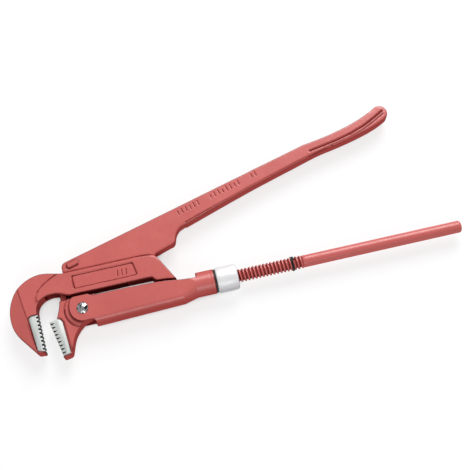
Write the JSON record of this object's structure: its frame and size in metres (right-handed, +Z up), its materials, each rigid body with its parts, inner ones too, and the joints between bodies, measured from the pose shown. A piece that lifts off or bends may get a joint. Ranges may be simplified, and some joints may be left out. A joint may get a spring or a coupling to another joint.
{
  "type": "pipe wrench",
  "caption": "Swedish-pattern corner pipe wrench with a hooked fixed jaw, a sliding riveted jaw worked by an adjusting nut, and two long handles.",
  "frame": {"origin": "centre of the bottom of the whole wrench's box as it lies on its side", "axes": "+X along the lower handle towards its end, +Y in the plane of the jaws towards the upper handle, +Z up through the thickness"},
  "size_m": [0.4266, 0.1752, 0.0252],
  "materials": {
    "red_enamel": "satin red enamel over forged steel",
    "tooth_steel": "bright ground steel",
    "polished_steel": "bright rivet steel",
    "zinc_plate": "satin zinc plate with fine turning marks",
    "dark_steel": "blackened steel"
  },
  "bodies": {
    "arm": {"upper_arm": "red_enamel", "upper_jaw_teeth": "tooth_steel"},
    "handle": {"lower_handle": "red_enamel", "fulcrum_pin": "polished_steel", "thread_stop_ring": "dark_steel"},
    "slide": {"sleeve": "red_enamel", "jaw_rivet": "polished_steel"},
    "nut": {"adjusting_nut": "zinc_plate", "nut_retaining_ring": "dark_steel", "nut_washer": "dark_steel"},
    "jaw": {"lower_jaw": "red_enamel", "lower_jaw_teeth": "tooth_steel"}
  },
  "joints": [
    {"name": "handle_squeeze", "type": "hinge", "parent": "arm", "child": "handle", "pos_m": [-0.0687, -0.04715, 0.012], "axis": [0, 0, 1], "range_deg": [-0.8, 1.6]},
    {"name": "sleeve_slide", "type": "slide", "parent": "handle", "child": "slide", "axis": [1, 0, 0], "range_m": [-0.008, 0.05]},
    {"name": "nut_turn", "type": "hinge", "parent": "slide", "child": "nut", "pos_m": [-0.0121, -0.04715, 0.012], "axis": [1, 0, 0], "range_deg": [-855, 5300]},
    {"name": "jaw_tilt", "type": "hinge", "parent": "slide", "child": "jaw", "pos_m": [-0.1467, -0.04715, 0.012], "axis": [0, 0, 1], "range_deg": [-9.6, 4.8]}
  ],
  "couplings": [
    {"joint": "nut_turn", "follows": "sleeve_slide", "rad_per_m": 1848},
    {"joint": "jaw_tilt", "follows": "handle_squeeze", "ratio": -5.875}
  ]
}
